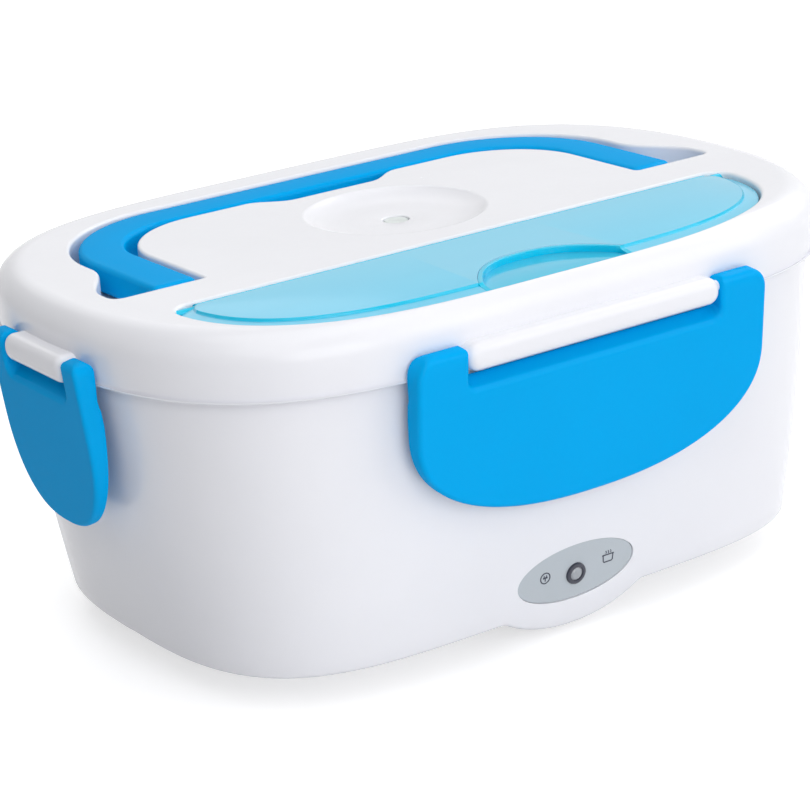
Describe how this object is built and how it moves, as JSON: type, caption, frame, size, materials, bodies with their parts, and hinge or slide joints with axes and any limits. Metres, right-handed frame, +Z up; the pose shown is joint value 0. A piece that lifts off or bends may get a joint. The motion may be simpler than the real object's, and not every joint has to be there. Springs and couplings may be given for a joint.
{
  "type": "electric lunch box",
  "caption": "Electric lunch box: rounded heated base with hanging food tray, lift-off lid held by hinged latches, fold-down handle, spoon compartment and steam vent.",
  "frame": {"origin": "on the floor under the middle of the box", "axes": "+X to the right along the length, -Y the front with the label, +Z up"},
  "size_m": [0.2396, 0.1696, 0.105],
  "materials": {
    "white_plastic": "glossy moulded",
    "blue_plastic": "glossy moulded",
    "clear_blue": "clear tinted, glossy",
    "steel": "satin",
    "screw_steel": "satin",
    "aluminium": "satin",
    "brass": "plated",
    "silicone": "matte",
    "plug_silicone": "matte",
    "foot_rubber": "matte",
    "dark_plastic": "satin moulded",
    "label_grey": "satin printed",
    "bezel_grey": "satin",
    "lamp_red": "clear tinted",
    "led_clear": "clear",
    "board_green": "coated board",
    "ceramic": "matt ceramic",
    "wire_red": "sleeved",
    "wire_blue": "sleeved"
  },
  "bodies": {
    "base": {"body_shell": "white_plastic", "inner_well": "white_plastic", "food_tray": "steel", "side_dish_box": "white_plastic", "side_dish_lid": "clear_blue", "heating_plate": "aluminium", "plate_screws": "screw_steel", "heating_element": "aluminium", "element_strap": "screw_steel", "strap_screws": "screw_steel", "thermostat": "dark_plastic", "thermostat_screws": "screw_steel", "thermal_fuse": "ceramic", "supply_inlet": "dark_plastic", "inlet_pins": "brass", "inlet_screws": "screw_steel", "live_wire": "wire_red", "neutral_wire": "wire_blue", "fuse_wire": "wire_red", "element_wire": "wire_red", "label_plate": "label_grey", "lamp_bezel": "bezel_grey", "lamp_lens": "lamp_red", "lamp_led": "led_clear", "lamp_board": "board_green", "base_plate": "white_plastic", "base_screws": "screw_steel", "foot_front_left": "foot_rubber", "foot_front_right": "foot_rubber", "foot_back_left": "foot_rubber", "foot_back_right": "foot_rubber"},
    "lid": {"lid_shell": "white_plastic", "lid_liner": "white_plastic", "lid_seal": "silicone", "spoon": "steel"},
    "vent_plug": {"vent_plug": "plug_silicone"},
    "spoon_cover": {"spoon_cover": "clear_blue"},
    "handle": {"handle": "blue_plastic"},
    "latch_front": {"latch_front": "blue_plastic"},
    "latch_back": {"latch_back": "blue_plastic"},
    "latch_left": {"latch_left": "blue_plastic"},
    "latch_right": {"latch_right": "blue_plastic"}
  },
  "joints": [
    {"name": "lid_lift", "type": "slide", "parent": "base", "child": "lid", "axis": [0, 0, 1], "range_m": [0, 0.13]},
    {"name": "latch_front_hinge", "type": "hinge", "parent": "lid", "child": "latch_front", "pos_m": [0, -0.0818, 0.0918], "axis": [-1, 0, 0], "range_deg": [0, 110]},
    {"name": "latch_back_hinge", "type": "hinge", "parent": "lid", "child": "latch_back", "pos_m": [0, 0.0818, 0.0918], "axis": [1, 0, 0], "range_deg": [0, 110]},
    {"name": "latch_left_hinge", "type": "hinge", "parent": "lid", "child": "latch_left", "pos_m": [-0.1168, 0, 0.0918], "axis": [0, 1, 0], "range_deg": [0, 110]},
    {"name": "latch_right_hinge", "type": "hinge", "parent": "lid", "child": "latch_right", "pos_m": [0.1168, 0, 0.0918], "axis": [0, -1, 0], "range_deg": [0, 110]},
    {"name": "handle_hinge", "type": "hinge", "parent": "lid", "child": "handle", "pos_m": [0, -0.0063, 0.1008], "axis": [1, 0, 0], "range_deg": [0, 95]},
    {"name": "spoon_cover_hinge", "type": "hinge", "parent": "lid", "child": "spoon_cover", "pos_m": [0, -0.0306, 0.1034], "axis": [-1, 0, 0], "range_deg": [0, 100]},
    {"name": "vent_plug_slide", "type": "slide", "parent": "lid", "child": "vent_plug", "axis": [0, 0, 1], "range_m": [0, 0.003]}
  ]
}
